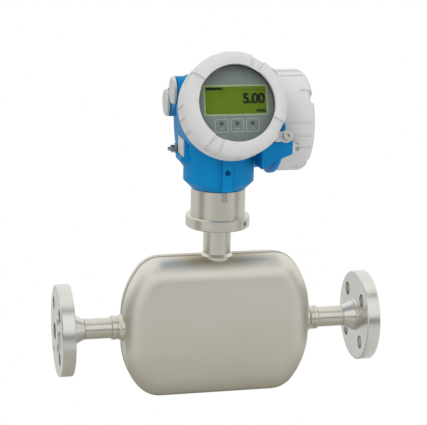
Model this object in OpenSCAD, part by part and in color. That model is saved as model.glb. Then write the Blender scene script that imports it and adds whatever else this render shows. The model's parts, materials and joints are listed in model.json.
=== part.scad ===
// Coriolis mass flow meter with flanged ends and a compact two-chamber transmitter.
// X runs with the flow from the inlet flange's sealing face, Y points to the back,
// Z points up the neck to the transmitter. The pipe axis is the X axis.

/* [Process connection] */
// Distance between the two sealing faces
face_to_face = 338; // [320:1:400]
// Outer diameter of each flange
flange_d = 95; // [92:0.5:105]
// Flange thickness with its raised face
flange_t = 16; // [14:0.5:20]
// Diameter of the raised sealing face
raised_d = 45; // [40:0.5:48]
// Height of the raised sealing face
raised_h = 2; // [1:0.5:3]
// Bolt circle diameter
bolt_circle_d = 65; // [63:0.5:68]
// Bolt hole diameter
bolt_hole_d = 14; // [10:0.5:15]
// Hub diameter where it leaves the flange
hub_d = 32; // [28:0.5:36]
// Length of the flange with its welding neck
hub_len = 30; // [26:1:42]
// Connecting pipe outside diameter
pipe_d = 21.3; // [20:0.1:23]
// Connecting pipe bore
pipe_bore = 17.3; // [15:0.1:18]

/* [Sensor case] */
// Case width along the pipe
case_w = 200; // [190:1:220]
// Case height
case_h = 149.4; // [146:0.2:160]
// Case depth, front to back
case_d = 56; // [54:1:64]
// Rounding between the faces and the rim
edge_r = 24; // [20:0.5:26]
// Radius of the long side curves
side_r = 84.5; // [80:0.5:88]
// Radius of the four corners
corner_r = 29.2; // [27:0.2:32]
// Sheet thickness of the half shells
case_wall = 2; // [1.5:0.1:3]
// Width of the seam weld
seam_w = 3.6; // [2:0.1:5]
// Height of the seam weld above the sheet
seam_h = 0.6; // [0.3:0.1:1]
// Outer diameter of the sleeve at the case wall
collar_d = 25; // [24:0.5:30]
// Length of that sleeve
collar_len = 11; // [8:0.5:14]

/* [Measuring tubes] */
// Outer diameter of each measuring tube
tube_d = 10; // [8:0.5:11]
// Wall of each measuring tube
tube_wall = 1; // [0.7:0.1:1.5]
// Distance between the two tube axes
tube_pitch = 26; // [24:0.5:28]
// Bend radius of the tube axis
tube_bend = 18; // [15:1:20]
// Depth of the loop under the pipe axis
loop_depth = 52; // [46:1:54]
// Width of the loop between its legs
loop_w = 84; // [76:1:90]
// Distance from the middle to the inner face of each flow splitter
splitter_x = 64; // [62:1:68]
// Length of each flow splitter
splitter_len = 24; // [20:1:28]

/* [Neck] */
// Neck pipe diameter
neck_d = 28.4; // [26:0.2:32]
// Neck pipe wall
neck_wall = 2.6; // [2:0.1:4]
// Height from the case to the neck ring
neck_h = 31.3; // [25:0.5:60]
// Neck ring diameter
ring_d = 66; // [62:0.5:72]
// Neck ring height
ring_h = 12; // [10:0.5:16]
// Adapter diameter
adapter_d = 56; // [54:0.5:60]
// Adapter height up to the transmitter
adapter_h = 29; // [24:0.5:40]
// Diameter of the spigot that the transmitter turns on
spigot_d = 48; // [44:0.5:50]

/* [Transmitter housing] */
// Tilt of the display above the horizontal
display_tilt = 20; // [18:0.5:22]
// Display window plane in front of the neck axis
display_out = 71.9; // [70:0.5:76]
// Middle of the display above the foot of the pedestal
display_up = 99.8; // [98:0.2:104]
// Terminal chamber axis behind the neck axis
chamber_back = 20; // [18:0.5:24]
// Terminal chamber axis above the foot of the pedestal
chamber_up = 64; // [63:0.5:66]
// Outer end of the terminal cover from the neck axis
chamber_out = 93.3; // [92:0.5:100]
// Closed end of the terminal chamber from the neck axis
chamber_end = 35; // [34:0.5:40]
// Outer diameter of both chambers
chamber_d = 97; // [96.5:0.5:100]
// Inner diameter of both chambers
cavity_d = 84; // [80:0.5:85]
// Depth of the display chamber behind the window plane
display_depth = 52; // [50:0.5:53]
// Pedestal diameter
pedestal_d = 72.4; // [70:0.2:76]
// Height of the pedestal's foot taper
foot_h = 7.5; // [5:0.5:10]
// Diameter of the flange that the terminal cover closes on
chamber_flange_d = 109.2; // [107:0.2:112]
// Width of the rib on the front of the pedestal
rib_w = 10.4; // [9:0.2:12]

/* [Covers] */
// Outer diameter of both screwed covers
cover_d = 105; // [103:0.5:107]
// Length of both covers
cover_len = 33; // [31:0.5:35]
// Rounding of the display cover's front edge
cover_round = 12; // [9:0.5:12.5]
// Rounding of the terminal cover's edge
cap_round = 8; // [6:0.5:9]
// Depth of the four notches across each cover's end
notch_depth = 3; // [2:0.2:3.4]
// Width of each notch in degrees
notch_angle = 16; // [12:1:20]
// Diameter of the display window
window_d = 76.4; // [72:0.2:78]
// Thickness of the window glass
glass_t = 5; // [4:0.2:5.5]

/* [Display] */
// Width of the liquid crystal display
lcd_w = 62; // [56:0.5:64]
// Height of the liquid crystal display
lcd_h = 28; // [24:0.5:32]
// Middle of the display to the right of the axis
lcd_right = 1.5; // [0:0.1:2]
// Middle of the display above the axis
lcd_up = 4.5; // [3:0.1:6]

/* [Cable entries and fittings] */
// Diameter of each blind plug's head
plug_d = 27.8; // [26:0.2:29]
// Thickness of each blind plug's head
plug_t = 3; // [2:0.2:5]
// Diameter of the threaded cable entries
entry_d = 19.6; // [18:0.2:20]
// Outer face of the entry boss from the neck axis
entry_out = 46; // [44:0.5:50]
// Side of the bare plate
plate_w = 24; // [20:0.5:25]
// Height of the bare plate
plate_h = 18; // [16:0.5:22]

/* [Fits] */
// Gap between covers, barrels and other parts that turn past each other
turn_gap = 0.3; // [0.25:0.05:0.4]
// Radial gap of the pin that the display turns on
pivot_gap = 0.08; // [0.05:0.01:0.1]
// Radial gap between screwed or plugged parts
slip_gap = 0.1; // [0.05:0.05:0.15]

/* [Hidden] */
$fn = 96;
eps = 0.01;

steel = [0.74, 0.73, 0.71];
dark_steel = [0.55, 0.55, 0.55];
blue = [0.0, 0.47, 0.76];
cover_grey = [0.86, 0.86, 0.85];

mid_x = face_to_face / 2;
case_top = case_h / 2;
ring_z = case_top + neck_h;
head_z = ring_z + ring_h + adapter_h;
neck_bore = neck_d - 2 * neck_wall;
pipe_end = case_w / 2 - 12;

// Arc centres of the case outline. A side curve passes into a corner on a 3-4-5 line,
// so that both centres and the plane between them are round values.
side_cx = case_w / 2 - side_r;
side_cz = case_h / 2 - corner_r - (side_r - corner_r) * 0.6;
corner_cx = side_cx + (side_r - corner_r) * 0.8;
corner_cz = case_h / 2 - corner_r;

// Covers and the threads they turn on
skirt_r = cover_d / 2;
thread_r = cavity_d / 2 + 4.6;
lip_t = notch_depth + 1.5;
glass_ring_t = 2.4;
glass_r = cavity_d / 2 - slip_gap;
panel_z = -(lip_t + glass_t + glass_ring_t + 1.3);
barrel_front = -(lip_t + glass_t + glass_ring_t + 4.6);
seal_t = 2.4;

// Entry bosses, from the neck axis and the pedestal's foot
front_entry = [2, 100];
rear_entry = [35, 82];
boss_r = plug_d / 2 + 0.4;

// ---------------------------------------------------------------- placement

// From the middle of the meter on the pipe axis
module at_middle() translate([mid_x, 0, 0]) children();

// The same on both ends: side 0 is the inlet, side 1 the outlet
module at_end(side) translate([side * face_to_face, 0, 0]) mirror([side, 0, 0]) children();

// A solid of revolution about X, drawn with local Z along +X
module along_x() rotate([0, 90, 0]) children();

// From the neck axis at the pedestal's foot
module at_head() translate([mid_x, 0, head_z]) children();

// Local Z leaves the display towards the reader, local Y runs up the window
module at_display() at_head() translate([0, -display_out, display_up])
    rotate([90 - display_tilt, 0, 0]) children();

// Local Z leaves the terminal chamber along +X from the cover's end, local Y is up
module at_chamber() at_head() translate([chamber_out, chamber_back, chamber_up])
    rotate([90, 0, 90]) children();

// ---------------------------------------------------------------- case

// Radial section of half the case, from its mid-plane to a face
module rim_half(r, half_d, round_r) intersection() {
    union() {
        square([r - round_r, half_d]);
        square([r, half_d - round_r]);
        translate([r - round_r, half_d - round_r]) circle(round_r);
    }
    square([r, half_d]);
}

// The plate between the arc centres, which has a waist at mid height
module core_plate() polygon([
    [side_cx, -side_cz], [side_cx, side_cz], [corner_cx, corner_cz], [-corner_cx, corner_cz],
    [-side_cx, side_cz], [-side_cx, -side_cz], [-corner_cx, -corner_cz], [corner_cx, -corner_cz]]);

// Half of the case form, inset from the outside, built up in local Z from the mid-plane
module half_form(inset) {
    half_d = case_d / 2 - inset;
    round_r = edge_r - inset;
    side = side_r - inset;
    corner = corner_r - inset;
    linear_extrude(half_d) core_plate();
    for (sx = [0, 1]) mirror([sx, 0, 0]) {
        translate([side_cx, side_cz, 0]) rotate([90, 0, 0])
            linear_extrude(2 * side_cz) rim_half(side, half_d, round_r);
        for (sz = [0, 1]) mirror([0, sz, 0]) {
            translate([side_cx, side_cz, 0]) intersection() {
                rotate_extrude() rim_half(side, half_d, round_r);
                linear_extrude(half_d) polygon([[0, 0], [200, 0], [200, 150]]);
            }
            translate([corner_cx, corner_cz, 0]) intersection() {
                rotate_extrude() rim_half(corner, half_d, round_r);
                linear_extrude(half_d) polygon([[0, 0], [200, 150], [0, 150]]);
            }
        }
    }
    for (sz = [0, 1]) mirror([0, sz, 0])
        translate([-corner_cx, corner_cz, 0]) rotate([90, 0, 90])
            linear_extrude(2 * corner_cx) rim_half(corner, half_d, round_r);
}

// The case outline in its mid-plane, grown outwards
module outline(grow) {
    side = side_r + grow;
    corner = corner_r + grow;
    square([2 * (side_cx + side), 2 * side_cz], center = true);
    square([2 * corner_cx, 2 * (corner_cz + corner)], center = true);
    for (sx = [-1, 1], sz = [-1, 1]) {
        translate([sx * corner_cx, sz * corner_cz]) circle(corner);
        intersection() {
            translate([sx * side_cx, sz * side_cz]) circle(side);
            square([2 * case_w, 2 * (side_cz + side * 0.6)], center = true);
        }
    }
}

// The front half faces -Y
module at_case() at_middle() rotate([90, 0, 0]) children();

module case_solid() {
    at_case() half_form(0);
    mirror([0, 1, 0]) at_case() half_form(0);
}

// Ridge along the top of the case, where the neck stands
module case_ridge() at_middle() rotate([90, 0, 90]) translate([0, 0, -corner_cx])
    linear_extrude(2 * corner_cx) {
        flat = case_d / 2 - edge_r;
        translate([-flat, 0]) square([2 * flat, case_top]);
        for (s = [-1, 1]) translate([s * flat, case_top - edge_r]) circle(edge_r);
    }

// Everything that passes through the case wall
module wall_holes() {
    translate([mid_x - case_w, 0, 0]) along_x() cylinder(h = 2 * case_w, d = pipe_d + 2 * slip_gap);
    at_middle() cylinder(h = case_h, d = neck_bore);
}

module half_shell() difference() {
    at_case() half_form(0);
    at_case() translate([0, 0, -eps]) half_form(case_wall);
    wall_holes();
}

module front_shell() color(steel) half_shell();

module rear_shell() color(steel) mirror([0, 1, 0]) half_shell();

module case_seam() color(dark_steel) difference() {
    at_case() translate([0, 0, -seam_w / 2]) linear_extrude(seam_w) difference() {
        outline(seam_h);
        outline(0);
    }
    translate([mid_x - case_w, 0, 0]) along_x() cylinder(h = 2 * case_w, d = collar_d + 5);
    at_middle() cylinder(h = case_h, d = neck_d + 5);
}

// ---------------------------------------------------------------- process connection

module weld_neck_flange() difference() {
    rotate([0, 90, 0]) rotate_extrude() polygon([
        [0, 0], [raised_d / 2, 0], [raised_d / 2, raised_h], [flange_d / 2 - 0.8, raised_h],
        [flange_d / 2, raised_h + 0.8], [flange_d / 2, flange_t - 0.8], [flange_d / 2 - 0.8, flange_t],
        [hub_d / 2 + 1, flange_t], [hub_d / 2, flange_t + 1], [hub_d / 2, flange_t + 3],
        [pipe_d / 2, hub_len], [0, hub_len]]);
    translate([-1, 0, 0]) along_x() cylinder(h = hub_len + 2, d = pipe_bore);
    for (a = [45:90:315]) rotate([a, 0, 0]) translate([-1, 0, bolt_circle_d / 2])
        along_x() cylinder(h = flange_t + 2, d = bolt_hole_d);
}

module inlet_flange() color(steel) at_end(0) weld_neck_flange();
module outlet_flange() color(steel) at_end(1) weld_neck_flange();

module connecting_pipe() difference() {
    pipe_len = mid_x - pipe_end - hub_len;
    translate([hub_len, 0, 0]) along_x() cylinder(h = pipe_len, d = pipe_d);
    translate([hub_len - 1, 0, 0]) along_x() cylinder(h = pipe_len + 2, d = pipe_bore);
}

module inlet_pipe() color(steel) at_end(0) connecting_pipe();
module outlet_pipe() color(steel) at_end(1) connecting_pipe();

// Turned sleeve with a groove round it and a weld that flares onto the case
module collar() difference() {
    wall_x = mid_x - case_w / 2;
    translate([wall_x - collar_len, 0, 0]) along_x() rotate_extrude() polygon([
        [pipe_d / 2 + slip_gap, 0], [collar_d / 2 - 0.8, 0], [collar_d / 2, 0.8],
        [collar_d / 2, collar_len * 0.42], [collar_d / 2 - 0.7, collar_len * 0.46],
        [collar_d / 2 - 0.7, collar_len * 0.56], [collar_d / 2, collar_len * 0.6],
        [collar_d / 2, collar_len - 3], [collar_d / 2 + 2, collar_len], [collar_d / 2 + 2, collar_len + 3.5],
        [pipe_d / 2 + slip_gap, collar_len + 3.5]]);
    case_solid();
}

module inlet_collar() color(steel) at_end(0) collar();
module outlet_collar() color(steel) at_end(1) collar();

// ---------------------------------------------------------------- measuring tubes

// One side of the tube loop as a chain of straights and bends in local X (flow) and Y (up)
leg_x = loop_w / 2;
lead_in = splitter_x - leg_x - tube_bend;
leg_len = loop_depth - 2 * tube_bend;
floor_half = leg_x - tube_bend;

// Tube run of a given diameter over one half of the loop, from the splitter to the middle
module half_loop(d, extra) {
    translate([-splitter_x - extra, 0, 0]) along_x() cylinder(h = lead_in + extra, d = d);
    translate([-leg_x - tube_bend, 0, -tube_bend]) rotate([90, 0, 0])
        rotate_extrude(angle = 90) translate([tube_bend, 0]) circle(d = d);
    translate([-leg_x, 0, -tube_bend - leg_len]) cylinder(h = leg_len, d = d);
    translate([-leg_x + tube_bend, 0, -loop_depth + tube_bend]) rotate([90, 0, 0]) rotate([0, 0, 180])
        rotate_extrude(angle = 90) translate([tube_bend, 0]) circle(d = d);
    translate([-floor_half, 0, -loop_depth]) along_x() cylinder(h = floor_half + eps, d = d);
}

module loop(d, extra) {
    half_loop(d, extra);
    mirror([1, 0, 0]) half_loop(d, extra);
}

module measuring_tube(side) at_middle() translate([0, side * tube_pitch / 2, 0]) difference() {
    loop(tube_d, 0);
    loop(tube_d - 2 * tube_wall, 1);
}

module front_tube() color(steel) measuring_tube(-1);
module rear_tube() color(steel) measuring_tube(1);

// Block that parts the flow from the pipe into the two tubes
module splitter() {
    outer_x = mid_x - splitter_x - splitter_len;
    difference() {
        intersection() {
            translate([outer_x, 0, 0]) along_x() cylinder(h = splitter_len, d = tube_pitch + tube_d + 6);
            translate([outer_x, -case_d, -pipe_d / 2 - 2]) cube([splitter_len, 2 * case_d, pipe_d + 4]);
        }
        translate([outer_x - 1, 0, 0]) along_x() cylinder(h = splitter_len / 2 + 1, d = pipe_bore);
        for (s = [-1, 1]) translate([outer_x + splitter_len / 2 - 6, s * tube_pitch / 2, 0])
            along_x() cylinder(h = splitter_len, d = tube_d - 2 * tube_wall);
    }
}

module inlet_splitter() color(dark_steel) at_end(0) splitter();
module outlet_splitter() color(dark_steel) at_end(1) splitter();

// Plate that ties both tubes together at the top of a leg
module brace() difference() {
    translate([mid_x - leg_x, 0, -tube_bend - 1.5]) cube([tube_d + 8, tube_pitch + tube_d + 6, 2], center = true);
    for (s = [-1, 1]) translate([mid_x - leg_x, s * tube_pitch / 2, -loop_depth])
        cylinder(h = loop_depth, d = tube_d + 2 * slip_gap);
}

module inlet_brace() color(dark_steel) at_end(0) brace();
module outlet_brace() color(dark_steel) at_end(1) brace();

// Stiff bar on top of both splitters, open in the middle for the wires
bar_t = 6;
module carrier_bar() color(dark_steel) difference() {
    translate([mid_x - splitter_x - splitter_len / 2, -15, pipe_d / 2 + 2])
        cube([2 * splitter_x + splitter_len, 30, bar_t]);
    at_middle() cylinder(h = case_h, d = neck_bore);
}

// Holder that sits on a tube's flank and points across the gap between the tubes
gap_half = (tube_pitch - tube_d) / 2;
module tube_holder(side, r, tip) difference() {
    translate([0, side * tube_pitch / 2, 0]) rotate([side * 90, 0, 0]) cylinder(h = tube_pitch / 2 - tip, r = r);
    translate([0, side * tube_pitch / 2, 0]) children();
}

// Coil on the front tube, open towards the magnet
module coil(r) difference() {
    tube_holder(-1, r, 0.5) children();
    rotate([90, 0, 0]) translate([0, 0, -1]) cylinder(h = gap_half - 1.5, r = r - 2.4);
}

// Magnet on the rear tube, with a pole that reaches into the coil
module magnet(r) difference() {
    union() {
        tube_holder(1, r, 1.5) children();
        rotate([90, 0, 0]) translate([0, 0, -2.5]) cylinder(h = 5.5, r = r - 3.4);
    }
}

module at_drive() translate([mid_x, 0, -loop_depth]) children();
module at_pickoffs() for (s = [-1, 1])
    translate([mid_x + s * leg_x, 0, -loop_depth + tube_bend + 6]) children();
module flow_tube() translate([-20, 0, 0]) along_x() cylinder(h = 40, d = tube_d);
module leg_tube() translate([0, 0, -20]) cylinder(h = 40, d = tube_d);

module drive_coil() color("peru") at_drive() coil(7.5) flow_tube();
module drive_magnet() color(dark_steel) at_drive() magnet(7) flow_tube();
module pickoff_coils() color("peru") at_pickoffs() coil(5.5) leg_tube();
module pickoff_magnets() color(dark_steel) at_pickoffs() magnet(5) leg_tube();

module temperature_sensor() color("silver") at_drive() difference() {
    translate([-15, -tube_pitch / 2, tube_d / 2 - 1]) cube([8, 6, 5], center = true);
    translate([0, -tube_pitch / 2, 0]) flow_tube();
}

// ---------------------------------------------------------------- neck

socket_h = ring_h - 4;
module neck_pipe() color(steel) difference() {
    at_middle() {
        translate([0, 0, case_top - 8]) cylinder(h = neck_h + 8 + socket_h, d = neck_d);
        translate([0, 0, case_top - 8]) cylinder(h = 8, d = neck_d + 5);
        translate([0, 0, case_top]) cylinder(h = 2.5, d1 = neck_d + 5, d2 = neck_d);
    }
    at_middle() cylinder(h = head_z, d = neck_bore);
    case_ridge();
}

module neck_ring() color(steel) at_middle() translate([0, 0, ring_z]) difference() {
    rotate_extrude() polygon([
        [0, 0], [ring_d / 2 - 1, 0], [ring_d / 2, 1], [ring_d / 2, ring_h - 1],
        [ring_d / 2 - 1, ring_h], [0, ring_h]]);
    translate([0, 0, -1]) cylinder(h = socket_h + 1, d = neck_d + 2 * slip_gap);
    translate([0, 0, -1]) cylinder(h = ring_h + 2, d = neck_bore);
    ring_screw_place() cylinder(h = 20, d = 5 + 2 * slip_gap);
}

// Radial screw in the ring, half way round from the front to the outlet
screw_in = ring_d / 2 - 12;
module ring_screw_place() translate([0, 0, ring_h / 2]) rotate([0, 90, -45]) translate([0, 0, screw_in]) children();

module ring_screw() color(dark_steel) at_middle() translate([0, 0, ring_z]) ring_screw_place() difference() {
    cylinder(h = 10.5, d = 5);
    translate([0, 0, 7.5]) cylinder(h = 4, r = 1.45, $fn = 6);
}

spigot_h = 29;
module neck_adapter() color(steel) at_head() difference() {
    rotate_extrude() polygon([
        [0, -adapter_h], [adapter_d / 2, -adapter_h], [adapter_d / 2, -0.8], [adapter_d / 2 - 0.8, 0],
        [spigot_d / 2, 0], [spigot_d / 2, 6], [spigot_d / 2 - seal_t, 6], [spigot_d / 2 - seal_t, 6 + seal_t + 0.4],
        [spigot_d / 2, 6 + seal_t + 0.4], [spigot_d / 2, 20], [spigot_d / 2 - 1.5, 20], [spigot_d / 2 - 1.5, 25],
        [spigot_d / 2, 25], [spigot_d / 2, spigot_h], [0, spigot_h]]);
    translate([0, 0, -adapter_h - 1]) cylinder(h = adapter_h + spigot_h + 2, d = neck_bore);
    translate([0, 0, 4]) cylinder(h = spigot_h, d = spigot_d - 12);
}

module stop_key() color(steel) at_head() difference() {
    translate([-2.5, -adapter_d / 2 - 1.8, -10.3]) cube([5, 6, 10]);
    translate([0, 0, -adapter_h]) cylinder(h = adapter_h, d = adapter_d);
}

// Ring with a round section that fills a groove
module o_ring(mid_r, section_d) rotate_extrude() translate([mid_r, 0]) circle(d = section_d, $fn = 32);

module swivel_seal() color("dimgray") at_head() translate([0, 0, 6 + (seal_t + 0.4) / 2])
    o_ring(spigot_d / 2 + turn_gap - slip_gap - seal_t / 2, seal_t);

module feedthrough() color("darkgreen") at_head() translate([0, 0, 4]) {
    cylinder(h = 6, d = spigot_d - 12 - 2 * slip_gap);
    for (a = [0:45:315]) rotate([0, 0, a]) translate([9, 0, 0]) cylinder(h = 12, d = 1.6, $fn = 24);
}

// ---------------------------------------------------------------- housing casting

foot_gap = turn_gap;
module pedestal() at_head() {
    translate([0, 0, foot_gap]) cylinder(h = foot_h, d1 = adapter_d + 1.2, d2 = pedestal_d);
    translate([0, 0, foot_gap + foot_h]) cylinder(h = chamber_up - 14 - foot_h - foot_gap, d = pedestal_d);
    translate([-rib_w / 2, -pedestal_d / 2 - 4, 3]) cube([rib_w, pedestal_d / 2, 34]);
}

// Straight behind the cover, then tapered into the terminal barrel
barrel_taper = 62;
barrel_end = 88;
module display_barrel() at_display() {
    translate([0, 0, -barrel_taper]) cylinder(h = barrel_taper - cover_len - turn_gap, d = chamber_d - 1);
    translate([0, 0, -barrel_end]) cylinder(h = barrel_end - barrel_taper, d1 = chamber_d - 13, d2 = chamber_d - 1);
    translate([0, 0, -cover_len - 1]) cylinder(h = cover_len + 1 + barrel_front, r = thread_r);
}

// Closed end with a rounded edge, drawn as a radial section
end_round = 8;
module terminal_barrel() at_chamber() {
    end_z = -chamber_out - chamber_end;
    flange_z = -cover_len - turn_gap;
    rotate_extrude() {
        translate([0, end_z + end_round]) square([chamber_d / 2, flange_z - end_z - end_round]);
        translate([0, end_z]) square([chamber_d / 2 - end_round, 2 * end_round]);
        intersection() {
            translate([chamber_d / 2 - end_round, end_z + end_round]) circle(end_round);
            translate([0, end_z]) square([chamber_d, 2 * end_round]);
        }
        polygon([[0, flange_z], [chamber_flange_d / 2 - 1, flange_z], [chamber_flange_d / 2, flange_z - 1],
            [chamber_flange_d / 2, flange_z - 5], [chamber_d / 2, flange_z - 8.5], [0, flange_z - 8.5]]);
    }
    translate([0, 0, flange_z - 1]) cylinder(h = -flange_z - 11.5, r = thread_r);
}

// Frame for things that leave the closed end: local X is +Y, local Y is up, local Z is +X
module at_side(x, y, up) at_head() translate([x, y, up]) rotate([90, 0, 90]) children();

module entry_boss() {
    run = rear_entry - front_entry;
    for (e = [front_entry, rear_entry]) at_side(-entry_out, e[0], e[1]) cylinder(h = entry_out - 20, r = boss_r);
    at_side(-entry_out, front_entry[0], front_entry[1]) rotate([0, 0, atan2(run[1], run[0])])
        translate([0, 0.5 - boss_r, 0]) cube([norm(run), 2 * boss_r - 1, entry_out - 20]);
}

// Flat pad for the plate, standing on a ledge
pad_out = 39;
ledge_top = 34;
module plate_pad() at_head() {
    translate([-pad_out, -plate_w / 2 - 1, ledge_top - 5]) cube([20, plate_w + 2, plate_h + 8]);
    translate([-pad_out - 3.4, -plate_w / 2 - 1, ledge_top - 5]) cube([10, plate_w + 2, 5]);
}

// Arm beside the display cover that carries both cover clamps
clamp_at = [57.5, -28.8, -cover_len - 7];
arm_end = 65.5;
module clamp_arm() difference() {
    union() {
        at_head() translate([0, -15, 0]) rotate([90, 0, 0]) linear_extrude(28)
            polygon([[34, 26], [48, 34], [arm_end, 41], [arm_end, 53.5], [34, 53.5]]);
        at_display() translate([clamp_at[0], clamp_at[1], clamp_at[2] - 22]) cylinder(h = 22, r = 6.5);
    }
    at_chamber() translate([0, 0, -cover_len - turn_gap - eps]) cylinder(h = cover_len + 2, r = skirt_r + 1);
    at_display() translate([0, 0, -cover_len - turn_gap]) cylinder(h = cover_len + 2, r = skirt_r + 1);
}

// Chambers, bores and screw holes inside the casting; the floor steps up at carrier_x, clear of the spigot
carrier_x = 26;
module housing_cavities() {
    // display chamber
    at_display() translate([0, 0, -display_depth]) cylinder(h = display_depth, d = cavity_d);
    // terminal chamber with a raised floor over the pedestal
    intersection() {
        at_chamber() translate([0, 0, -chamber_out - chamber_end + 6]) cylinder(h = chamber_out + chamber_end, d = cavity_d);
        union() {
            at_head() translate([carrier_x, -100, -20]) cube([200, 200, 200]);
            at_head() translate([-100, -100, 37]) cube([200, 200, 200]);
        }
    }
    // bore that turns on the adapter's spigot
    at_head() translate([0, 0, -1]) cylinder(h = spigot_h + 2, d = spigot_d + 2 * turn_gap);
    // slanted duct for the sensor wires
    at_head() translate([0, -16, 16]) rotate([22.25, 0, 0]) cylinder(h = 47.5, r = 5);
    // cable entries
    for (e = [front_entry, rear_entry]) at_side(-entry_out - 1, e[0], e[1])
        cylinder(h = entry_out - chamber_end + 9, d = entry_d);
    // swivel screw, clamp screws and ground screw
    swivel_screw_place() cylinder(h = 30, d = 6 + 2 * slip_gap);
    at_display() translate([clamp_at[0], clamp_at[1], clamp_at[2] - 12]) cylinder(h = 13, r = 2.5 + slip_gap);
    terminal_clamp_place() translate([0, 0, -9]) cylinder(h = 10, r = 2 + slip_gap);
    ground_place() translate([0, 0, -4.5]) cylinder(h = 5, r = 2 + slip_gap);
    // relief behind each cover thread for its seal
    at_display() seal_relief();
    at_chamber() seal_relief();
}

seal_mid = thread_r + 0.4 - slip_gap - seal_t / 2;
module seal_relief() translate([0, 0, -cover_len - turn_gap]) difference() {
    cylinder(h = seal_t + 0.6, r = thread_r + 0.2);
    translate([0, 0, -1]) cylinder(h = seal_t + 3, r = seal_mid - seal_t / 2 - slip_gap);
}

module housing() color(blue) difference() {
    union() {
        pedestal();
        display_barrel();
        terminal_barrel();
        entry_boss();
        plate_pad();
        clamp_arm();
    }
    housing_cavities();
}

module swivel_screw_place() at_head() translate([0, 0, 22.5]) rotate([90, 0, 0])
    translate([0, 0, spigot_d / 2 + turn_gap + 0.3]) children();

module swivel_screw() color(dark_steel) swivel_screw_place() difference() {
    cylinder(h = 12.5, d = 6);
    translate([0, 0, 9]) cylinder(h = 5, r = 1.75, $fn = 6);
}

// ---------------------------------------------------------------- covers

// Radial section of a cover's outside, z = 0 at its outer end
module cover_section(r, drop, round_r) {
    translate([0, -cover_len]) square([r, cover_len - drop - round_r]);
    translate([0, -cover_len]) square([r - round_r, cover_len - drop]);
    translate([r - round_r, -drop - round_r]) circle(round_r);
}

// Notches for a bar across the end and its rounding, grip grooves between them down the side
notch_from = 34;
module cover_body(round_r, first_notch) difference() {
    rotate_extrude() cover_section(skirt_r, 0, round_r);
    for (k = [0:3]) rotate([0, 0, first_notch + 90 * k]) {
        rotate([0, 0, -notch_angle / 2]) rotate_extrude(angle = notch_angle) difference() {
            translate([notch_from, -round_r - 7]) square([skirt_r, round_r + 8]);
            cover_section(skirt_r - 1.2, notch_depth, round_r - 1.5);
        }
        for (a = [-14, 0, 14]) rotate([0, 0, 45 + a])
            translate([skirt_r - 0.9, -1.5, 1.8 - cover_len]) cube([3, 3, cover_len - round_r + 1]);
    }
}

module display_cover() color(cover_grey) at_display() difference() {
    cover_body(cover_round, 60);
    translate([0, 0, -cover_len - 1]) cylinder(h = cover_len + 2, d = window_d);
    translate([0, 0, -cover_len]) cylinder(h = cover_len - lip_t, r = glass_r + slip_gap);
    translate([0, 0, -cover_len - 1]) cylinder(h = cover_len + 1 - lip_t - glass_t - glass_ring_t, r = thread_r + 0.4);
}

module window_glass() color("lightblue", 0.4) at_display()
    translate([0, 0, -lip_t - glass_t]) cylinder(h = glass_t, r = glass_r);

module glass_ring() color(dark_steel) at_display() translate([0, 0, -lip_t - glass_t - glass_ring_t]) difference() {
    cylinder(h = glass_ring_t, r = glass_r);
    translate([0, 0, -1]) cylinder(h = glass_ring_t + 2, d = window_d + 2);
}

module cover_seal() translate([0, 0, -cover_len - turn_gap + seal_t / 2 + 0.3]) o_ring(seal_mid, seal_t);
module display_seal() color("dimgray") at_display() cover_seal();
module terminal_seal() color("dimgray") at_chamber() cover_seal();

module terminal_cover() color(cover_grey) at_chamber() difference() {
    cover_body(cap_round, 52);
    translate([0, 0, -cover_len - 1]) cylinder(h = cover_len + 1 - notch_depth - 4, r = thread_r + 0.4);
}

// ---------------------------------------------------------------- display and electronics

panel_t = 2.8;
panel_r = cavity_d / 2 - 1;
module display_panel() color([0.43, 0.46, 0.45]) at_display() translate([0, 0, panel_z - panel_t]) difference() {
    cylinder(h = panel_t, r = panel_r);
    translate([lcd_right - lcd_w / 2, lcd_up - lcd_h / 2, 1.4]) cube([lcd_w, lcd_h, panel_t]);
    for (k = [-1, 0, 1]) translate([15.6 * k - 6.2, -26.5, panel_t - 0.4]) cube([12.4, 12.4, 1]);
}

module lcd() color([0.35, 0.44, 0.04]) at_display()
    translate([lcd_right - lcd_w / 2 + slip_gap, lcd_up - lcd_h / 2 + slip_gap, panel_z - panel_t + 1.4])
        cube([lcd_w - 2 * slip_gap, lcd_h - 2 * slip_gap, 1.2]);

module_t = 9;
pivot_r = 4;
pivot_len = 9;
module display_module() color("gray") at_display() translate([0, 0, panel_z - panel_t - module_t]) {
    cylinder(h = module_t, r = panel_r - 4);
    translate([0, 0, -pivot_len]) cylinder(h = pivot_len + 1, r = pivot_r);
}

// Cup with a post in which the display's pin turns
electronics_top = panel_z - panel_t - module_t - turn_gap;
module electronics_module() color([0.2, 0.2, 0.22]) at_display() difference() {
    translate([0, 0, -display_depth]) cylinder(h = display_depth + electronics_top, r = cavity_d / 2 - 0.5);
    translate([0, 0, -display_depth + 6]) difference() {
        cylinder(h = display_depth, r = cavity_d / 2 - 4);
        translate([0, 0, -1]) cylinder(h = display_depth + electronics_top - 5, r = pivot_r + 5);
    }
    translate([0, 0, electronics_top - pivot_len - 0.5]) cylinder(h = display_depth, r = pivot_r + pivot_gap);
    for (a = [0, 180]) rotate([0, 0, a]) translate([cavity_d / 2 - 12, 0, -display_depth - 1]) cylinder(h = 30, r = 1.6 + slip_gap);
}

module module_screws() color("silver") at_display() for (a = [0, 180])
    rotate([0, 0, a]) translate([cavity_d / 2 - 12, 0, -display_depth + 0.5]) {
        cylinder(h = 5.5, r = 1.6);
        translate([0, 0, 5.5]) cylinder(h = 2.5, r = 3);
    }

// Carrier plate on the step of the chamber floor, with the terminals on it
module terminal_carrier() color([0.25, 0.25, 0.27]) at_side(carrier_x, chamber_back, chamber_up) difference() {
    cylinder(h = 4, r = cavity_d / 2 - 0.5);
    translate([-34, 8, -1]) cube([18, 14, 6]);
}

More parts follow.
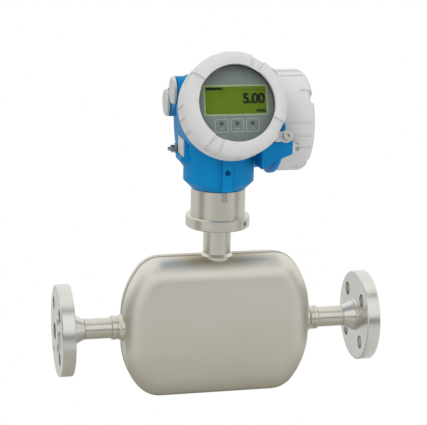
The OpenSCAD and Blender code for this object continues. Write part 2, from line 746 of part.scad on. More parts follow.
block_w = 52;
module terminal_block() color("darkgreen") at_side(carrier_x + 4, chamber_back, chamber_up) difference() {
    translate([-block_w / 2, -14, 0]) cube([block_w, 16, 14]);
    for (k = [0:5]) translate([-block_w / 2 + 5 + 8.4 * k, -15, 3]) cube([5, 8, 5]);
    terminal_screw_places() translate([0, 0, -4]) cylinder(h = 5, d = 4.4);
}

module terminal_screw_places() for (k = [0:5])
    translate([-block_w / 2 + 5 + 2.5 + 8.4 * k, -2, 14]) children();

module terminal_screws() color("silver") at_side(carrier_x + 4, chamber_back, chamber_up)
    terminal_screw_places() translate([0, 0, -4]) difference() {
        cylinder(h = 3, d = 4.2);
        translate([-3, -0.4, 2.2]) cube([6, 0.8, 2]);
    }

// ---------------------------------------------------------------- fittings

plug_seal_t = 1;
module blind_plug(e) at_side(-entry_out - plug_seal_t, e[0], e[1]) {
    translate([0, 0, -plug_t]) rotate_extrude() polygon([
        [0, 0], [plug_d / 2 - 1, 0], [plug_d / 2, 1], [plug_d / 2, plug_t], [0, plug_t]]);
    cylinder(h = 14, d = entry_d - 2 * slip_gap);
}

module front_plug() color(cover_grey) blind_plug(front_entry);
module rear_plug() color(cover_grey) blind_plug(rear_entry);

module plug_seals() color("dimgray") for (e = [front_entry, rear_entry])
    at_side(-entry_out - plug_seal_t, e[0], e[1]) difference() {
        cylinder(h = plug_seal_t, d = plug_d - 3);
        translate([0, 0, -1]) cylinder(h = plug_seal_t + 2, d = entry_d);
    }

// Claw beside the display cover's skirt, held by a socket head screw
module display_clamp() color(cover_grey) at_display() difference() {
    translate(clamp_at) {
        cylinder(h = 4, r = 6.2);
        translate([-12, -5, 0]) cube([12, 10, 4]);
    }
    translate([clamp_at[0], clamp_at[1], clamp_at[2] - 1]) cylinder(h = 6, r = 2.5 + slip_gap);
    translate([0, 0, -cover_len - turn_gap]) cylinder(h = cover_len, r = skirt_r + 1);
}

module socket_screw(head_d, head_h, shank_r, shank_h) difference() {
    union() {
        cylinder(h = head_h, d = head_d);
        translate([0, 0, -shank_h]) cylinder(h = shank_h, r = shank_r);
    }
    translate([0, 0, head_h * 0.4]) cylinder(h = head_h, r = head_d * 0.29, $fn = 6);
}

module display_clamp_screw() color("silver") at_display()
    translate([clamp_at[0], clamp_at[1], clamp_at[2] + 4]) socket_screw(8.4, 4.4, 2.5, 14);

module terminal_clamp_place() at_side(arm_end, -37.5, 47) children();

module terminal_clamp() color(cover_grey) terminal_clamp_place() difference() {
    translate([-4.5, -5, 0]) cube([9.5, 10, 3]);
    translate([0, 0, -1]) cylinder(h = 5, r = 2 + slip_gap);
}

module terminal_clamp_screw() color("silver") terminal_clamp_place()
    translate([0, 0, 3]) socket_screw(8, 4.6, 2, 11);

module tag_plate() color("gainsboro") at_head()
    translate([-pad_out - 1.2, -plate_w / 2, ledge_top]) cube([1.2, plate_w, plate_h]);

module ground_place() at_head() translate([-chamber_end, 22, 36]) rotate([0, -90, 0]) children();

module ground_washer() color("silver") ground_place() difference() {
    cylinder(h = 1.2, d = 11);
    translate([0, 0, -1]) cylinder(h = 4, r = 2 + slip_gap);
}

module ground_clamp() color("silver") ground_place() translate([0, 0, 1.2]) difference() {
    translate([-5, -5.5, 0]) cube([10, 11, 5]);
    translate([-6, -1.9 - 5, -1]) cube([12, 3.8, 3.5]);
    translate([0, 0, -1]) cylinder(h = 8, r = 2 + slip_gap);
}

module ground_screw() color("silver") ground_place() {
    translate([0, 0, -4]) cylinder(h = 10.2, r = 2);
    translate([0, 0, 6.2]) cylinder(h = 1, d = 8);
    translate([0, 0, 7.2]) cylinder(h = 3.6, r = 4.04, $fn = 6);
    translate([0, 0, 10.8]) cylinder(h = 3, r = 2);
}

// ---------------------------------------------------------------- nodes

inlet_flange();
outlet_flange();
inlet_pipe();
outlet_pipe();
inlet_collar();
outlet_collar();
front_shell();
rear_shell();
case_seam();
inlet_splitter();
outlet_splitter();
front_tube();
rear_tube();
inlet_brace();
outlet_brace();
carrier_bar();
drive_coil();
drive_magnet();
pickoff_coils();
pickoff_magnets();
temperature_sensor();
neck_pipe();
neck_ring();
ring_screw();
neck_adapter();
stop_key();
swivel_seal();
feedthrough();
housing();
swivel_screw();
display_cover();
window_glass();
glass_ring();
display_seal();
display_panel();
lcd();
display_module();
electronics_module();
module_screws();
terminal_cover();
terminal_seal();
terminal_carrier();
terminal_block();
terminal_screws();
front_plug();
rear_plug();
plug_seals();
display_clamp();
display_clamp_screw();
terminal_clamp();
terminal_clamp_screw();
tag_plate();
ground_screw();
ground_washer();
ground_clamp();
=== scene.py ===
# %% [markdown]
# # A Coriolis flow meter, dressed for its portrait
# The solid model holds every real size. This lesson adds what a camera sees on such a
# meter: satin and turned stainless steel, powder-coated aluminium, a glass window, a liquid
# crystal display with its figures, printed touch keys and weld beads.

import json
import math

import bmesh
import bpy
from mathutils import Matrix, Vector


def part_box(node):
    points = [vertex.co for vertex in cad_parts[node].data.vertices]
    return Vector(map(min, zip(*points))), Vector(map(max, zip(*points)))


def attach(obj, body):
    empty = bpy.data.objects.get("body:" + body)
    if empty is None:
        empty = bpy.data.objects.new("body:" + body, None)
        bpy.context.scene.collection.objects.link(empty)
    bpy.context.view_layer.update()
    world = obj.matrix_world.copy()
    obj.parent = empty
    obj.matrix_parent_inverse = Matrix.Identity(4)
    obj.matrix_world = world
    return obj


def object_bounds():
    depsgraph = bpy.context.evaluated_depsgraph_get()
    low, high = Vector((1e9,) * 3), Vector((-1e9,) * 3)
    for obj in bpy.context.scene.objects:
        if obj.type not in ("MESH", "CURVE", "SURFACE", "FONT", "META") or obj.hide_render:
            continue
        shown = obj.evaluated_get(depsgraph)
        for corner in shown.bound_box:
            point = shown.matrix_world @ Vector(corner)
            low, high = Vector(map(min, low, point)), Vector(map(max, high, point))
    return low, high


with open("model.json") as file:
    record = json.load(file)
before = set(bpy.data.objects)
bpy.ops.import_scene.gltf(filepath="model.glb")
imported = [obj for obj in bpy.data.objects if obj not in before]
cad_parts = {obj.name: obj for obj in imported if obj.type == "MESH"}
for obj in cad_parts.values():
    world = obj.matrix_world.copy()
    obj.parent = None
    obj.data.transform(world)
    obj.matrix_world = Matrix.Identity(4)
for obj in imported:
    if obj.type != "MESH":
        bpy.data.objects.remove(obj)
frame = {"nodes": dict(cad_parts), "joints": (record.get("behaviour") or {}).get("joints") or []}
solid_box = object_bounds()
print("solid model, mm:", [[round(v * 1000, 1) for v in corner] for corner in solid_box])

# %% [markdown]
# ## Places that everything else uses
# New pieces are placed from the solids' own boxes and joints, so they follow if a size
# changes. The display leans back, so it gets a small frame of its own: right, up the panel,
# and out of the panel towards the reader.

# %% Measure the places
MM = 0.001


def middle(node):
    """Centre of a solid's box."""
    low, high = (Vector(c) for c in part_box(node))
    return (low + high) / 2


joint = {j["name"]: j for j in frame["joints"]}
out = Vector(joint["display_turn"]["axis"]).normalized()
right = Vector((1, 0, 0))
up = out.cross(right)
window = Vector(joint["display_turn"]["pos_m"])
panel_depth = min((Vector(v.co) - window).dot(-out) for v in frame["nodes"]["display_panel"].data.vertices)
lcd_depth = min((Vector(v.co) - window).dot(-out) for v in frame["nodes"]["lcd"].data.vertices)
neck_axis = middle("neck_ring")
print("panel lies", round(panel_depth * 1000, 2), "mm behind the window plane, glass of the display",
      round(lcd_depth * 1000, 2))


def display_place(depth):
    """Matrix from the display's own axes, in metres, to the row frame."""
    m = Matrix((right, up, out)).transposed().to_4x4()
    return Matrix.Translation(window - out * depth) @ m


# %% [markdown]
# ## The camera
# A long lens looks from the front left and a little above.

# %% Place the camera
camera = bpy.data.cameras.new("catalogue_camera")
camera.lens = 124.0
camera.sensor_width = 36.0
camera.clip_end = 20.0
camera_object = bpy.data.objects.new("catalogue_camera", camera)
bpy.context.scene.collection.objects.link(camera_object)
bpy.context.scene.camera = camera_object
ROLL = math.radians(1.29)
forward = Vector((0.2263, 0.9424, -0.2465)).normalized()
level_right = forward.cross(Vector((0, 0, 1))).normalized()
level_up = level_right.cross(forward)
cam_right = level_right * math.cos(ROLL) + level_up * math.sin(ROLL)
cam_up = level_up * math.cos(ROLL) - level_right * math.sin(ROLL)
turn = Matrix((cam_right, cam_up, -forward)).transposed().to_4x4()
camera_object.matrix_world = Matrix.Translation((-0.1786, -1.4296, 0.4932)) @ turn
print("camera looks along", [round(v, 3) for v in forward])

# %% [markdown]
# ## Helpers for materials
# Colours are written as they look on a screen, in hex, and one function turns them into the
# linear values that the shader works with. One more adds a shader node with its settings
# and links.

# %% Colour and node helpers


def linear(code):
    """Linear colour of an sRGB hex value such as #DDE0E1."""
    parts = [int(code[i:i + 2], 16) / 255 for i in (1, 3, 5)]
    return [c / 12.92 if c <= 0.04045 else ((c + 0.055) / 1.055) ** 2.4 for c in parts] + [1.0]


def add(tree, kind, settings=None, **links):
    """A shader node: settings are sockets or properties, links are sockets to join."""
    made = tree.nodes.new("ShaderNode" + kind)
    for name, value in (settings or {}).items():
        if name in made.inputs:
            made.inputs[name].default_value = value
        else:
            setattr(made, name, value)
    for name, socket in links.items():
        tree.links.new(socket, made.inputs[name.replace("_", " ")])
    return made


def new_material(name, **surface):
    """An empty material with a Principled surface set to the values given."""
    made = bpy.data.materials.new(name)
    made.use_nodes = True
    tree = made.node_tree
    shader = tree.nodes["Principled BSDF"]
    for key, value in surface.items():
        shader.inputs[key.replace("_", " ")].default_value = value
    return made, tree, shader


def place_of(tree, scale=(1, 1, 1)):
    """Object coordinates, stretched if a pattern runs along one direction."""
    here = add(tree, "TexCoord")
    return add(tree, "Mapping", {"Scale": scale}, Vector=here.outputs["Object"]).outputs["Vector"]


def ramp(tree, factor, *stops):
    """Colour ramp between (position, hex) stops."""
    made = add(tree, "ValToRGB", Fac=factor)
    ends = made.color_ramp.elements
    while len(ends) < len(stops):
        ends.new(0.5)
    for end, (where, code) in zip(ends, stops):
        end.position = where
        end.color = linear(code)
    return made.outputs["Color"]


def grey_range(tree, factor, low, high):
    """A number between low and high, such as a roughness that varies."""
    return add(tree, "MapRange", {"To Min": low, "To Max": high}, Value=factor).outputs["Result"]


def bump(tree, shader, height, strength, distance):
    """Fine relief, its depth given in metres."""
    made = add(tree, "Bump", {"Strength": strength, "Distance": distance}, Height=height)
    tree.links.new(made.outputs["Normal"], shader.inputs["Normal"])


# %% [markdown]
# ## Stainless steel, three ways
# The case halves are deep drawn and satin brushed along the pipe, a soft warm grey. The
# flanges are turned on a lathe, so fine rings run round the pipe axis and catch the light.
# The pipes and the neck are brushed round. A weld bead shows ripples and a straw tint where
# heat coloured it.

# %% Satin case steel
# brush lines run along the pipe, about 0.3 mm apart; drawn as coarse as 0.8 mm to show
case_steel, tree, shader = new_material("satin_brushed_stainless", Metallic=1.0, Roughness=0.46)
cloud = add(tree, "TexNoise", {"Scale": 9.0, "Detail": 2.0}, Vector=place_of(tree, (0.5, 1, 1.4)))
clean = ramp(tree, cloud.outputs["Fac"], (0.3, "#DEDBD0"), (0.7, "#E6E4DA"))
# welding the neck on left a straw tint on the ridge; the same darker warm tint is also painted shade, where
# the transmitter head shades the ridge and its blue mirrors in it. It fades over 60 mm along the ridge and
# 30 mm across
foot = Vector((neck_axis.x * 0.45, 0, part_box("front_shell")[1][2]))
away = add(tree, "VectorMath", {"operation": "DISTANCE"})
away.inputs[1].default_value = foot
tree.links.new(place_of(tree, (0.45, 1, 1)), away.inputs[0])
weld_tint_and_painted_shade_mask = add(tree, "MapRange", {"From Min": 12 * MM, "From Max": 30 * MM, "To Min": 0.6, "To Max": 0.0},
           Value=away.outputs["Value"])
# the mix lays this straw weld tint and painted shade over the clean steel
weld_tint_and_painted_shade = add(tree, "Mix", {"data_type": "RGBA"})
tree.links.new(weld_tint_and_painted_shade_mask.outputs["Result"], weld_tint_and_painted_shade.inputs[0])
tree.links.new(clean, weld_tint_and_painted_shade.inputs[6])
weld_tint_and_painted_shade.inputs[7].default_value = linear("#9E8D68")
tree.links.new(weld_tint_and_painted_shade.outputs[2], shader.inputs["Base Color"])
draw_marks = add(tree, "TexNoise", {"Scale": 60.0, "Detail": 3.0}, Vector=place_of(tree, (0.25, 1, 3)))
tree.links.new(grey_range(tree, draw_marks.outputs["Fac"], 0.42, 0.52), shader.inputs["Roughness"])
grain = add(tree, "TexNoise", {"Scale": 1250.0, "Detail": 2.0}, Vector=place_of(tree, (0.05, 1, 1)))
bump(tree, shader, grain.outputs["Fac"], 0.1, 0.0002)
print("made", case_steel.name)

# %% Turned steel of the flanges
# feed marks 0.2 mm apart on the real flange, drawn 1.1 mm apart to show
turned_steel, tree, shader = new_material("turned_stainless", Metallic=1.0, Roughness=0.28)
cloud = add(tree, "TexNoise", {"Scale": 30.0, "Detail": 3.0}, Vector=place_of(tree))
tree.links.new(ramp(tree, cloud.outputs["Fac"], (0.3, "#D8D7D1"), (0.7, "#E5E4DF")),
               shader.inputs["Base Color"])
face_rings = add(tree, "TexWave", {"wave_type": "RINGS", "rings_direction": "X", "Scale": 285.0,
                                   "Distortion": 0.3}, Vector=place_of(tree))
rim_rings = add(tree, "TexWave", {"bands_direction": "X", "Scale": 285.0, "Distortion": 0.3},
                Vector=place_of(tree))
marks = add(tree, "Math", {"operation": "ADD"})
tree.links.new(face_rings.outputs["Fac"], marks.inputs[0])
tree.links.new(rim_rings.outputs["Fac"], marks.inputs[1])
tree.links.new(grey_range(tree, cloud.outputs["Fac"], 0.22, 0.34), shader.inputs["Roughness"])
bump(tree, shader, marks.outputs["Value"], 0.03, 0.00006)
print("made", turned_steel.name)

# %% Brushed steel of pipes and neck


def brushed(name, direction, pale="#DAD7CD", dark="#D4D1C6"):
    """Steel brushed round an axis: fine lines stacked along that axis."""
    made, tree, shader = new_material(name, Metallic=1.0, Roughness=0.32)
    stretch = {"X": (1, 0.03, 0.03), "Z": (0.03, 0.03, 1)}[direction]
    lines = add(tree, "TexNoise", {"Scale": 2600.0, "Detail": 2.0}, Vector=place_of(tree, stretch))
    tree.links.new(ramp(tree, lines.outputs["Fac"], (0.3, dark), (0.7, pale)), shader.inputs["Base Color"])
    tree.links.new(grey_range(tree, lines.outputs["Fac"], 0.26, 0.32), shader.inputs["Roughness"])
    bump(tree, shader, lines.outputs["Fac"], 0.05, 0.00003)
    return made


pipe_steel = brushed("brushed_stainless_pipe", "X")
neck_steel = brushed("brushed_stainless_neck", "Z")
print("made", pipe_steel.name, "and", neck_steel.name)

# %% Weld bead
# ripples about 1 mm apart with a straw tint in patches
weld_steel, tree, shader = new_material("tig_weld_bead", Metallic=1.0, Roughness=0.38)
tint = add(tree, "TexNoise", {"Scale": 45.0, "Detail": 2.0}, Vector=place_of(tree))
tree.links.new(ramp(tree, tint.outputs["Fac"], (0.35, "#C2BEB3"), (0.6, "#BDB5A6"), (0.8, "#CCC8BE")),
               shader.inputs["Base Color"])
ripple = add(tree, "TexNoise", {"Scale": 700.0, "Detail": 1.0}, Vector=place_of(tree))
bump(tree, shader, ripple.outputs["Fac"], 0.35, 0.0005)
print("made", weld_steel.name)

# %% [markdown]
# ## Powder coat on cast aluminium
# The transmitter is an aluminium casting. Powder coat melts into a slightly wavy skin, the
# orange peel, with a soft gloss. The housing is blue, the two covers are light grey.

# %% Powder coats


def powder_coat(name, pale, dark, roughness, shine):
    """Baked powder: waves about 1.5 mm across, with a shine of its own."""
    made, tree, shader = new_material(name, Roughness=roughness, Specular_IOR_Level=shine)
    cloud = add(tree, "TexNoise", {"Scale": 22.0, "Detail": 3.0}, Vector=place_of(tree))
    tree.links.new(ramp(tree, cloud.outputs["Fac"], (0.35, dark), (0.65, pale)), shader.inputs["Base Color"])
    tree.links.new(grey_range(tree, cloud.outputs["Fac"], roughness - 0.05, roughness + 0.06),
                   shader.inputs["Roughness"])
    peel = add(tree, "TexNoise", {"Scale": 650.0, "Detail": 2.0}, Vector=place_of(tree))
    bump(tree, shader, peel.outputs["Fac"], 0.15, 0.0003)
    return made


blue_coat = powder_coat("blue_powder_coat", "#0083BF", "#007CB8", 0.42, 0.12)
grey_coat = powder_coat("light_grey_powder_coat", "#D2D2D1", "#CDCDCC", 0.46, 0.35)
print("made", blue_coat.name, "and", grey_coat.name)

# %% [markdown]
# ## Small metal, rubber, plastic and copper
# Screws are plain bright steel, seals are black rubber, the terminal block and the feed-
# through are moulded, and the coils are wound from enamelled copper wire.

# %% The other opaque finishes


def plain(name, pale, dark, scale, roughness, depth, **surface):
    """A finish with mottled colour, roughness and a fine relief, at one grain size."""
    made, tree, shader = new_material(name, Roughness=roughness, **surface)
    mottle = add(tree, "TexNoise", {"Scale": scale, "Detail": 3.0}, Vector=place_of(tree))
    tree.links.new(ramp(tree, mottle.outputs["Fac"], (0.3, dark), (0.7, pale)), shader.inputs["Base Color"])
    tree.links.new(grey_range(tree, mottle.outputs["Fac"], roughness - 0.06, roughness + 0.08),
                   shader.inputs["Roughness"])
    bump(tree, shader, mottle.outputs["Fac"], 0.15, depth)
    return made


screw_steel = plain("plain_screw_steel", "#C9C8C5", "#A9A8A4", 300.0, 0.3, 0.0001, Metallic=1.0)
machined_steel = plain("machined_inner_steel", "#B5B2AD", "#9C9994", 220.0, 0.36, 0.0001, Metallic=1.0)
ring_steel = plain("blackened_ring_steel", "#34363B", "#24262B", 220.0, 0.45, 0.0001, Metallic=1.0)
plug_coat = plain("nickel_plated_plug", "#D4D4D0", "#BEBEBA", 260.0, 0.34, 0.0001, Metallic=0.55)
bare_plate = plain("bare_aluminium_plate", "#DEDEDA", "#D0D0CC", 420.0, 0.42, 0.0001, Metallic=0.6)
black_rubber = plain("black_seal_rubber", "#1E1E20", "#141416", 300.0, 0.7, 0.0002)
green_plastic = plain("green_moulded_terminal_plastic", "#2F6B4A", "#285C40", 300.0, 0.45, 0.0001)
dark_plastic = plain("dark_moulded_plastic", "#34363A", "#2B2D31", 350.0, 0.5, 0.0001)
pale_plastic = plain("pale_sensor_plastic", "#DDDAD0", "#CFCCC2", 350.0, 0.5, 0.0001)
copper, tree, shader = new_material("enamelled_copper_winding", Metallic=1.0, Roughness=0.3)
# wire 0.4 mm thick, drawn 0.8 mm
turns = add(tree, "TexWave", {"bands_direction": "Y", "Scale": 390.0}, Vector=place_of(tree))
tree.links.new(ramp(tree, turns.outputs["Fac"], (0.1, "#7C3E1E"), (0.7, "#C9743F")),
               shader.inputs["Base Color"])
bump(tree, shader, turns.outputs["Fac"], 0.5, 0.0003)
print("made the small finishes")

# %% [markdown]
# ## Window and display
# The window is thick clear glass. Behind it a screen-printed grey panel carries the display
# and the touch keys. The display is olive because its polariser lets only that through.

# %% Glass, panel and display
# borosilicate bends light by 1.47; drawn as a coated pane, which mirrors far less of the white room
window_glass, tree, shader = new_material("coated_borosilicate_window", Roughness=0.02, IOR=1.14,
                                          Transmission_Weight=1.0)
shader.inputs["Base Color"].default_value = linear("#F6FAF8")
frame["nodes"]["window_glass"].visible_shadow = False
panel_print = plain("screen_printed_panel", "#676D6A", "#616764", 380.0, 0.5, 0.00005)
key_print = plain("pale_key_print", "#8C928F", "#848A87", 380.0, 0.5, 0.00003)
lcd_olive = plain("olive_display_polariser", "#53680A", "#4F6308", 120.0, 0.4, 0.00002,
                  Specular_IOR_Level=0.1)
lcd_border = plain("display_bezel_tint", "#8D9570", "#848C68", 200.0, 0.4, 0.00003)
lcd_dark = plain("display_dark_segment", "#0E1402", "#0A0F02", 200.0, 0.5, 0.00002,
                 Specular_IOR_Level=0.1)
print("made glass, panel and display")

# %% Give every solid its finish
FINISH = {
    case_steel: ["front_shell", "rear_shell"],
    turned_steel: ["inlet_flange", "outlet_flange"],
    pipe_steel: ["inlet_pipe", "outlet_pipe", "inlet_collar", "outlet_collar", "front_tube", "rear_tube"],
    neck_steel: ["neck_pipe", "neck_ring", "neck_adapter"],
    weld_steel: ["case_seam"],
    machined_steel: ["inlet_splitter", "outlet_splitter", "inlet_brace", "outlet_brace", "carrier_bar",
                     "drive_magnet", "pickoff_magnets"],
    copper: ["drive_coil", "pickoff_coils"],
    pale_plastic: ["temperature_sensor"],
    screw_steel: ["ring_screw", "stop_key", "module_screws", "terminal_screws", "display_clamp_screw",
                  "terminal_clamp_screw", "ground_screw", "ground_washer", "ground_clamp"],
    black_rubber: ["swivel_seal", "display_seal", "terminal_seal", "plug_seals"],
    green_plastic: ["feedthrough", "terminal_block"],
    blue_coat: ["housing", "swivel_screw"],
    grey_coat: ["display_cover", "terminal_cover", "display_clamp", "terminal_clamp"],
    plug_coat: ["front_plug", "rear_plug"],
    window_glass: ["window_glass"],
    ring_steel: ["glass_ring"],
    panel_print: ["display_panel"],
    lcd_olive: ["lcd"],
    dark_plastic: ["display_module", "electronics_module", "terminal_carrier"],
    bare_plate: ["tag_plate"],
}
dressed = set()
for finish, nodes in FINISH.items():
    for name in nodes:
        mesh = frame["nodes"][name].data
        mesh.materials.clear()
        mesh.materials.append(finish)
        dressed.add(name)
print(len(dressed), "solids dressed, left bare:", sorted(set(frame["nodes"]) - dressed))

# %% [markdown]
# ## Pieces made here
# A bmesh is built in the piece's own axes and moved into the row frame before it becomes an
# object, so that every object sits at the origin, as the solids do.

# %% From bmesh to a riding piece


def piece(name, shape, finish, body, place=None):
    """Turns a bmesh into an object of the scene that moves with a body."""
    if place is not None:
        bmesh.ops.transform(shape, matrix=place, verts=shape.verts)
    bmesh.ops.recalc_face_normals(shape, faces=shape.faces)
    mesh = bpy.data.meshes.new(name)
    shape.to_mesh(mesh)
    shape.free()
    mesh.materials.append(finish)
    made = bpy.data.objects.new(name, mesh)
    bpy.context.scene.collection.objects.link(made)
    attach(made, body)
    print("made", name, "with", len(mesh.polygons), "faces")


def rounded_face(shape, width, height, corner, at):
    """A rounded rectangle: a filled circle whose four quarters are pulled apart."""
    made = bmesh.ops.create_circle(shape, cap_ends=True, segments=36, radius=corner)["verts"]
    turn_by = Matrix.Rotation(math.radians(5), 4, "Z")
    bmesh.ops.transform(shape, matrix=turn_by, verts=made)
    for v in made:
        v.co.x += math.copysign(width / 2 - corner, v.co.x) + at[0]
        v.co.y += math.copysign(height / 2 - corner, v.co.y) + at[1]
    return made[0].link_faces[0]


def outline(shape, width, height, line, corner, at):
    """A printed outline: a rounded rectangle, inset, with its middle taken out."""
    face = rounded_face(shape, width, height, corner, at)
    bmesh.ops.inset_region(shape, faces=[face], thickness=line, use_boundary=True,
                           use_even_offset=True)
    bmesh.ops.delete(shape, geom=[face], context="FACES_ONLY")


# %% [markdown]
# ## The display's figures
# The reading is drawn with the plain built-in letterform as flat figures, made a mesh and
# laid on the display. A dark strip crosses the top, as on most meters.

# %% Frame, strip and figures of the display
lcd_low, lcd_high = (Vector(c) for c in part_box("lcd"))
lcd_centre = (lcd_low + lcd_high) / 2 - window
lcd_x, lcd_y = lcd_centre.dot(right), lcd_centre.dot(up)
lcd_points = [Vector(v.co) - window for v in frame["nodes"]["lcd"].data.vertices]
lcd_w = max(p.dot(right) for p in lcd_points) - min(p.dot(right) for p in lcd_points)
lcd_h = max(p.dot(up) for p in lcd_points) - min(p.dot(up) for p in lcd_points)
print("display measures", round(lcd_w * 1000, 1), "x", round(lcd_h * 1000, 1), "mm")

shape = bmesh.new()
outline(shape, lcd_w + 2.4 * MM, lcd_h + 2.4 * MM, 1.5 * MM, 1.6 * MM, (lcd_x, lcd_y))
piece("display_border", shape, lcd_border, "display_unit", display_place(panel_depth - 0.05 * MM))

shape = bmesh.new()
strip = bmesh.ops.create_grid(shape, x_segments=8, y_segments=1, size=0.5)["verts"]
bmesh.ops.scale(shape, vec=(lcd_w * 0.27, lcd_h * 0.09, 1), verts=strip)
bmesh.ops.translate(shape, vec=(lcd_x - lcd_w * 0.34, lcd_y + lcd_h * 0.41, 0), verts=strip)
piece("display_header_strip", shape, lcd_dark, "display_unit", display_place(lcd_depth - 0.05 * MM))

shape = bmesh.new()
for x, y, wide, high, count in ((0.40, -0.38, 0.026, 0.1, 5), (0.14, 0.365, 0.71, 0.012, 1)):
    for k in range(count):
        bar = bmesh.ops.create_grid(shape, x_segments=1, y_segments=1, size=0.5)["verts"]
        bmesh.ops.scale(shape, vec=(lcd_w * wide, lcd_h * high, 1), verts=bar)
        step = (k - (count - 1) / 2) * 0.03
        bmesh.ops.translate(shape, vec=(lcd_x + lcd_w * (x + step), lcd_y + lcd_h * y, 0), verts=bar)
piece("display_bar", shape, lcd_dark, "display_unit", display_place(lcd_depth - 0.05 * MM))

letters = bpy.data.curves.new("reading", "FONT")
letters.body = "5.00"
letters.align_x = "RIGHT"
letters.align_y = "CENTER"
letters.size = 13.7 * MM
letters.space_character = 0.95
letters.offset = 0.62 * MM
typed = bpy.data.objects.new("reading_curve", letters)
bpy.context.scene.collection.objects.link(typed)
shape = bmesh.new()
shape.from_mesh(typed.to_mesh())
typed.to_mesh_clear()
bpy.data.objects.remove(typed)
bmesh.ops.translate(shape, vec=(lcd_x + lcd_w * 0.475, lcd_y + lcd_h * 0.04, 0), verts=shape.verts)
piece("display_reading", shape, lcd_dark, "display_unit", display_place(lcd_depth - 0.05 * MM))

# %% [markdown]
# ## Touch keys
# Three keys under the display are worked through the glass. They are only printed: a pale
# square line with a sensing dot and a short dash under it.

# %% Print the touch keys
KEY = 13.4 * MM
KEY_PITCH = 15.6 * MM
KEY_SHIFT = 1.5 * MM
KEY_DROP = 20.3 * MM
on_panel = display_place(panel_depth - 0.06 * MM)
for number in (-1, 0, 1):
    x = KEY_PITCH * number + KEY_SHIFT
    y = -KEY_DROP
    shape = bmesh.new()
    outline(shape, KEY, KEY, 0.8 * MM, 1.8 * MM, (x, y))
    dash = bmesh.ops.create_grid(shape, x_segments=1, y_segments=1, size=0.5)["verts"]
    bmesh.ops.scale(shape, vec=(4.4 * MM, 0.8 * MM, 1), verts=dash)
    bmesh.ops.translate(shape, vec=(x, y - 3.2 * MM, 0), verts=dash)
    piece(f"key_outline_{number + 2}", shape, key_print, "display_unit", on_panel)
    shape = bmesh.new()
    bmesh.ops.create_circle(shape, cap_ends=True, segments=28, radius=2.0 * MM)
    bmesh.ops.translate(shape, vec=(x, y + 1.9 * MM, 0), verts=shape.verts)
    piece(f"key_dot_{number + 2}", shape, dark_plastic, "display_unit", on_panel)

# %% [markdown]
# ## Weld beads
# Where the flange neck meets the pipe, a bead is left all round. It is a small ring with
# ripples: a circle spun round the pipe axis, with its rings moved in and out in turn.

# %% Spin the weld beads


def bead(name, centre, axis, radius, section, body, ripples=90):
    """A ring of weld metal: its section spun round a level axis and rippled."""
    shape = bmesh.new()
    side = Vector((0, 0, 1))
    made = bmesh.ops.create_circle(shape, cap_ends=False, segments=10, radius=section)["verts"]
    across = axis.cross(side)
    turn_in = Matrix((side, axis, -across)).transposed().to_4x4()
    bmesh.ops.transform(shape, matrix=Matrix.Translation(centre + side * radius) @ turn_in, verts=made)
    bmesh.ops.spin(shape, geom=shape.edges[:], cent=centre, axis=axis, angle=math.tau, steps=2 * ripples,
                   use_merge=True)
    for v in shape.verts:
        arm = v.co - centre
        flat = arm - axis * arm.dot(axis)
        angle = math.atan2(flat.dot(across), flat.dot(side))
        wave = 0.12 * section * math.sin(ripples * angle)
        v.co += flat.normalized() * wave
    for f in shape.faces:
        f.smooth = True
    piece(name, shape, weld_steel, body)


flow = Vector((1, 0, 0))
pipe_low, pipe_high = (Vector(c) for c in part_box("inlet_pipe"))
pipe_r = (pipe_high.z - pipe_low.z) / 2
BEAD = 0.6 * MM
SUNK = 0.25 * MM
for end, x in (("inlet", pipe_low.x), ("outlet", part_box("outlet_pipe")[1][0])):
    bead(end + "_neck_weld", Vector((x, 0, 0)), flow, pipe_r - SUNK, BEAD, "sensor")
print("beads on a pipe of radius", round(pipe_r * 1000, 2), "mm")

# %% [markdown]
# ## Floor, background and light
# The studio is white. The camera and the glass see plain white, metal mirrors white above
# and light grey paper below, and soft light for everything else comes from the world and
# three large lamps.

# %% Studio
stage_floor = bpy.data.meshes.new("studio_floor")
shape = bmesh.new()
bmesh.ops.create_grid(shape, x_segments=1, y_segments=1, size=4.0)
FLOOR_DROP = 0.12
floor_z = solid_box[0][2] - FLOOR_DROP
bmesh.ops.translate(shape, vec=(0.17, 0, floor_z), verts=shape.verts)
shape.to_mesh(stage_floor)
shape.free()
floor_object = bpy.data.objects.new("studio_floor", stage_floor)
bpy.context.scene.collection.objects.link(floor_object)


def seen_directly(tree):
    """1 to camera and glass rays, and 1 to those and gloss rays, as two sockets."""
    path = add(tree, "LightPath")
    plainly = add(tree, "Math", {"operation": "MAXIMUM"})
    tree.links.new(path.outputs["Is Camera Ray"], plainly.inputs[0])
    tree.links.new(path.outputs["Is Transmission Ray"], plainly.inputs[1])
    either = add(tree, "Math", {"operation": "MAXIMUM"})
    tree.links.new(plainly.outputs["Value"], either.inputs[0])
    tree.links.new(path.outputs["Is Glossy Ray"], either.inputs[1])
    return plainly.outputs["Value"], either.outputs["Value"]


floor_paper, tree, shader = new_material("white_studio_paper", Roughness=0.9)
shader.inputs["Base Color"].default_value = linear("#F4F4F4")
plainly, either = seen_directly(tree)
# steel mirrors the paper as light grey, which parts it from the white above the horizon
glow = add(tree, "Emission", {"Color": (1, 1, 1, 1)}, Strength=grey_range(tree, plainly, 0.72, 1.0))
mix = add(tree, "MixShader")
tree.links.new(either, mix.inputs[0])
tree.links.new(shader.outputs["BSDF"], mix.inputs[1])
tree.links.new(glow.outputs["Emission"], mix.inputs[2])
tree.links.new(mix.outputs["Shader"], tree.nodes["Material Output"].inputs["Surface"])
stage_floor.materials.append(floor_paper)

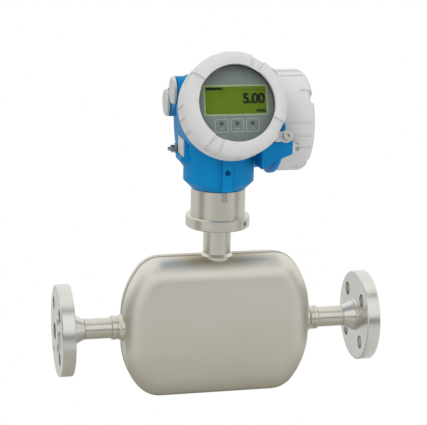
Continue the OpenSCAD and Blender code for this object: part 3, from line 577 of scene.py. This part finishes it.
world = bpy.data.worlds.new("studio_world")
bpy.context.scene.world = world
world.use_nodes = True
tree = world.node_tree
soft = tree.nodes["Background"]
soft.inputs["Color"].default_value = (1, 1, 1, 1)
soft.inputs["Strength"].default_value = 0.66
white = add(tree, "Background", {"Color": (1, 1, 1, 1), "Strength": 1.0})
mix = add(tree, "MixShader")
tree.links.new(seen_directly(tree)[1], mix.inputs[0])
tree.links.new(soft.outputs["Background"], mix.inputs[1])
tree.links.new(white.outputs["Background"], mix.inputs[2])
tree.links.new(mix.outputs["Shader"], tree.nodes["World Output"].inputs["Surface"])


def lamp(name, at, aim, size, power):
    """A large square lamp that gloss doesn't mirror."""
    light = bpy.data.lights.new(name, "AREA")
    light.shape = "SQUARE"
    light.size = size
    light.energy = power
    made = bpy.data.objects.new(name, light)
    made.location = at
    made.rotation_euler = (Vector(aim) - Vector(at)).to_track_quat("-Z", "Y").to_euler()
    made.visible_glossy = False
    bpy.context.scene.collection.objects.link(made)


subject = (0.17, 0, 0.12)
lamp("key_softbox", (-0.7, -1.1, 1.3), subject, 0.9, 9.0)
lamp("fill_softbox", (1.4, -1.0, 0.7), subject, 0.9, 4.0)
lamp("top_softbox", (0.2, 0.3, 1.6), subject, 1.0, 5.0)
print("studio is lit")

# %% Grey cards that give the bright metal its edges


def card(name, at, aim, width, height, shade):
    """A grey card that only reflections see."""
    shape = bmesh.new()
    bmesh.ops.create_grid(shape, x_segments=1, y_segments=1, size=0.5)
    bmesh.ops.scale(shape, vec=(width, height, 1), verts=shape.verts)
    face = (Vector(aim) - Vector(at)).to_track_quat("Z", "Y").to_matrix().to_4x4()
    bmesh.ops.transform(shape, matrix=Matrix.Translation(at) @ face, verts=shape.verts)
    mesh = bpy.data.meshes.new(name)
    shape.to_mesh(mesh)
    shape.free()
    paint, tree, shader = new_material(name + "_paint", Roughness=0.9)
    shader.inputs["Base Color"].default_value = linear(shade)
    mesh.materials.append(paint)
    made = bpy.data.objects.new(name, mesh)
    bpy.context.scene.collection.objects.link(made)
    made.visible_camera = False
    made.visible_diffuse = False
    made.visible_shadow = False
    made.visible_transmission = False


card("left_card", (-0.9, -0.1, 0.1), subject, 0.5, 1.0, "#98968E")
card("right_card", (1.25, -0.35, 0.1), subject, 0.4, 1.0, "#9A9892")
card("ground_card", (0.17, -0.06, -0.0746), Vector((0.17, -0.06, 1.0)), 0.34, 0.22, "#C4C1B8")
card("horizon_card", (0.17, -2.3, 0.05), subject, 4.0, 0.5, "#3A3834")
card("high_card", (0.17, -0.5, 1.15), subject, 1.6, 0.3, "#A3A19A")
print("cards stand beside the meter")

# %% Finish
bpy.context.scene.view_settings.view_transform = "Standard"
